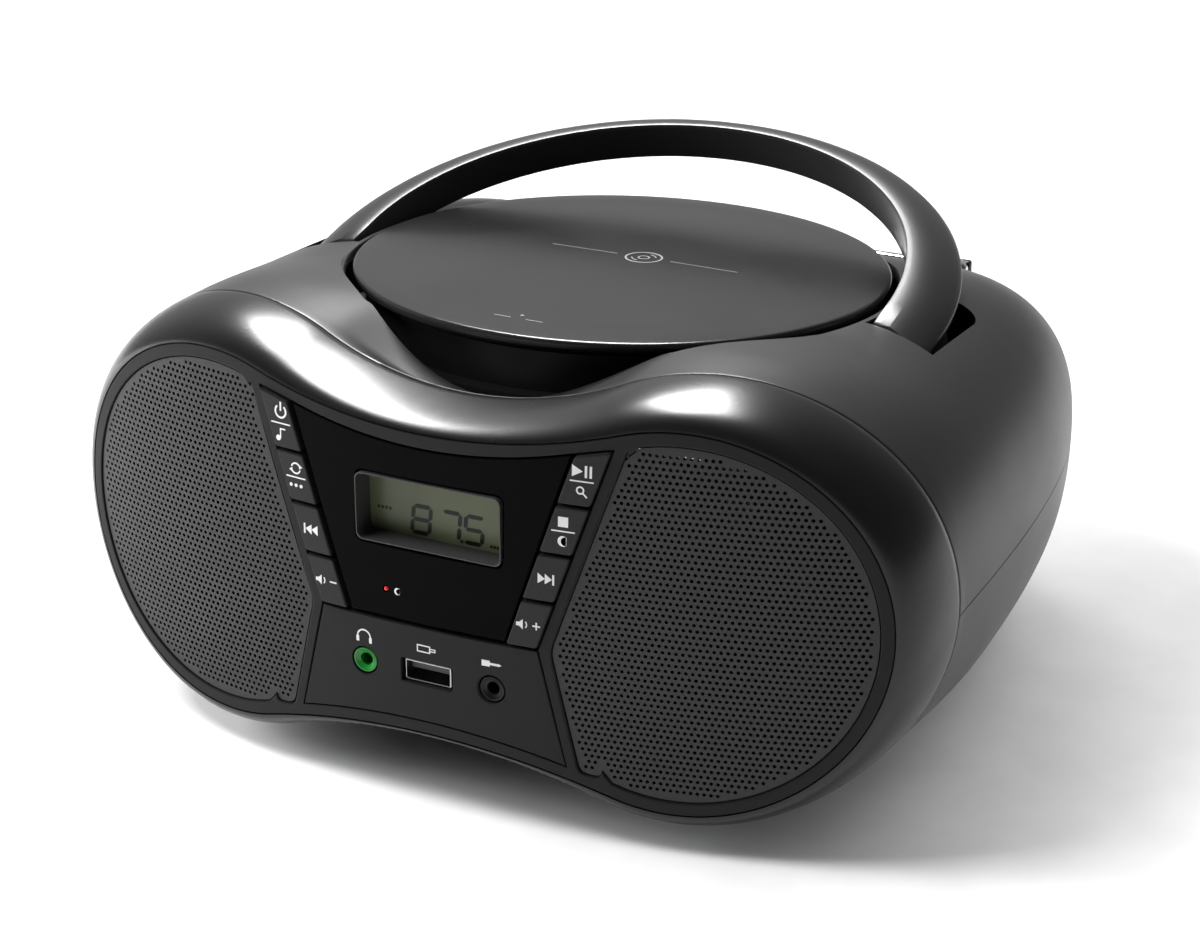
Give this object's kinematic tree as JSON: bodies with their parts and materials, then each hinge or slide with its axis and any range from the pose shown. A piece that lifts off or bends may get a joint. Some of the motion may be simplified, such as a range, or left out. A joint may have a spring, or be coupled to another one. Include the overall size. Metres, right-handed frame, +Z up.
{
  "type": "tabletop radio",
  "caption": "Portable tabletop radio with a disc player under a round lid, a curved front with two speaker grilles, a display, push buttons, sockets and a swing handle.",
  "frame": {"origin": "middle of the bounding box on the floor plane", "axes": "+X to the right seen from the front, +Y from the front to the rear, +Z up"},
  "size_m": [0.2448, 0.21, 0.1323],
  "materials": {
    "body_plastic": "fine satin charcoal moulding",
    "panel_plastic": "flat dark grey",
    "grille_metal": "perforated sheet, dark grey",
    "lens_plastic": "polished black",
    "button_plastic": "fine texture with printed marks",
    "display_glass": "grey-green display glass in a grey tray",
    "red_lens": "small red indicator",
    "green_plastic": "green socket body",
    "inner_plastic": "black moulding",
    "steel": "plain steel",
    "chrome_metal": "bright plating",
    "circuit_board": "green board with components",
    "cone_paper": "pressed black cone",
    "foot_rubber": "moulded foot",
    "magnet_metal": "dark metal"
  },
  "bodies": {
    "cabinet": {"front_ring": "body_plastic", "front_panel": "panel_plastic", "top_cabinet": "body_plastic", "bottom_cabinet": "body_plastic", "speaker_grille_left": "grille_metal", "speaker_grille_right": "grille_metal", "display_lens": "lens_plastic", "lcd_module": "display_glass", "sleep_led": "red_lens", "jack_panel": "panel_plastic", "headphone_jack": "green_plastic", "aux_jack": "inner_plastic", "usb_socket": "steel", "key_board": "circuit_board", "speaker_basket_left": "magnet_metal", "speaker_magnet_left": "magnet_metal", "speaker_basket_right": "magnet_metal", "speaker_magnet_right": "magnet_metal", "cd_deck": "inner_plastic", "lid_hinge_pin": "steel", "spindle_motor": "steel", "player_chassis": "steel", "sled_motor": "steel", "handle_pin_left": "steel", "handle_pin_right": "steel", "main_board": "circuit_board", "mains_transformer": "magnet_metal", "ac_inlet": "inner_plastic", "battery_tray": "inner_plastic", "battery_contacts_left": "chrome_metal", "battery_contacts_right": "chrome_metal", "foot_1": "foot_rubber", "foot_2": "foot_rubber", "foot_3": "foot_rubber", "foot_4": "foot_rubber", "case_screw_1": "steel", "case_screw_2": "steel", "case_screw_3": "steel", "case_screw_4": "steel"},
    "lid": {"cd_lid": "body_plastic"},
    "clamp": {"disc_clamp": "inner_plastic"},
    "turntable": {"turntable": "inner_plastic"},
    "sled": {"laser_sled": "inner_plastic"},
    "handle": {"carry_handle": "body_plastic"},
    "aerial_base": {"aerial_base": "inner_plastic"},
    "aerial_arm": {"aerial_knuckle": "chrome_metal", "aerial_tube_1": "chrome_metal"},
    "aerial_middle": {"aerial_tube_2": "chrome_metal"},
    "aerial_end": {"aerial_tip": "chrome_metal"},
    "battery_door": {"battery_door": "body_plastic"},
    "cone_left": {"speaker_cone_left": "cone_paper"},
    "cone_right": {"speaker_cone_right": "cone_paper"},
    "volume_down_key": {"volume_down_button": "button_plastic"},
    "previous_key": {"previous_button": "button_plastic"},
    "mode_key": {"mode_button": "button_plastic"},
    "power_key": {"power_button": "button_plastic"},
    "volume_up_key": {"volume_up_button": "button_plastic"},
    "next_key": {"next_button": "button_plastic"},
    "stop_key": {"stop_button": "button_plastic"},
    "play_key": {"play_button": "button_plastic"}
  },
  "joints": [
    {"name": "lid_hinge", "type": "hinge", "parent": "cabinet", "child": "lid", "pos_m": [0, 0.08014, 0.10476], "axis": [-1, 0, 0], "range_deg": [0, 21]},
    {"name": "handle_swing", "type": "hinge", "parent": "cabinet", "child": "handle", "pos_m": [0, 0.00704, 0.101], "axis": [-1, 0, 0], "range_deg": [-76, 0]},
    {"name": "turntable_spin", "type": "hinge", "parent": "cabinet", "child": "turntable", "pos_m": [0, 0.00601, 0.10381], "axis": [0, 0.048, 0.9988], "continuous": true},
    {"name": "clamp_spin", "type": "hinge", "parent": "lid", "child": "clamp", "pos_m": [0, 0.0062, 0.10781], "axis": [0, 0.048, 0.9988], "continuous": true},
    {"name": "sled_slide", "type": "slide", "parent": "cabinet", "child": "sled", "axis": [1, 0, 0], "range_m": [-0.012, 0.015]},
    {"name": "aerial_swivel", "type": "hinge", "parent": "cabinet", "child": "aerial_base", "pos_m": [0.066, 0.09404, 0.0942], "axis": [0, 0, 1], "range_deg": [-100, 0]},
    {"name": "aerial_tilt", "type": "hinge", "parent": "aerial_base", "child": "aerial_arm", "pos_m": [0.066, 0.09404, 0.0942], "axis": [0, 1, 0], "range_deg": [0, 90]},
    {"name": "aerial_draw_1", "type": "slide", "parent": "aerial_arm", "child": "aerial_middle", "axis": [-1, 0, 0], "range_m": [0, 0.105]},
    {"name": "aerial_draw_2", "type": "slide", "parent": "aerial_middle", "child": "aerial_end", "axis": [-1, 0, 0], "range_m": [0, 0.11]},
    {"name": "battery_door_hinge", "type": "hinge", "parent": "cabinet", "child": "battery_door", "pos_m": [0, 0.10334, 0.0166], "axis": [-1, 0, 0], "range_deg": [0, 100]},
    {"name": "cone_left_throw", "type": "slide", "parent": "cabinet", "child": "cone_left", "axis": [-0.2102, -0.9777, 0], "range_m": [-0.001, 0.0008], "stiffness_N_per_m": 1500},
    {"name": "cone_right_throw", "type": "slide", "parent": "cabinet", "child": "cone_right", "axis": [0.2102, -0.9777, 0], "range_m": [-0.001, 0.0008], "stiffness_N_per_m": 1500},
    {"name": "volume_down_press", "type": "slide", "parent": "cabinet", "child": "volume_down_key", "axis": [0, 1, 0], "range_m": [0, 0.0008], "stiffness_N_per_m": 600, "springref_m": -0.0005},
    {"name": "previous_press", "type": "slide", "parent": "cabinet", "child": "previous_key", "axis": [0, 1, 0], "range_m": [0, 0.0008], "stiffness_N_per_m": 600, "springref_m": -0.0005},
    {"name": "mode_press", "type": "slide", "parent": "cabinet", "child": "mode_key", "axis": [0, 1, 0], "range_m": [0, 0.0008], "stiffness_N_per_m": 600, "springref_m": -0.0005},
    {"name": "power_press", "type": "slide", "parent": "cabinet", "child": "power_key", "axis": [0, 1, 0], "range_m": [0, 0.0008], "stiffness_N_per_m": 600, "springref_m": -0.0005},
    {"name": "volume_up_press", "type": "slide", "parent": "cabinet", "child": "volume_up_key", "axis": [0, 1, 0], "range_m": [0, 0.0008], "stiffness_N_per_m": 600, "springref_m": -0.0005},
    {"name": "next_press", "type": "slide", "parent": "cabinet", "child": "next_key", "axis": [0, 1, 0], "range_m": [0, 0.0008], "stiffness_N_per_m": 600, "springref_m": -0.0005},
    {"name": "stop_press", "type": "slide", "parent": "cabinet", "child": "stop_key", "axis": [0, 1, 0], "range_m": [0, 0.0008], "stiffness_N_per_m": 600, "springref_m": -0.0005},
    {"name": "play_press", "type": "slide", "parent": "cabinet", "child": "play_key", "axis": [0, 1, 0], "range_m": [0, 0.0008], "stiffness_N_per_m": 600, "springref_m": -0.0005}
  ]
}
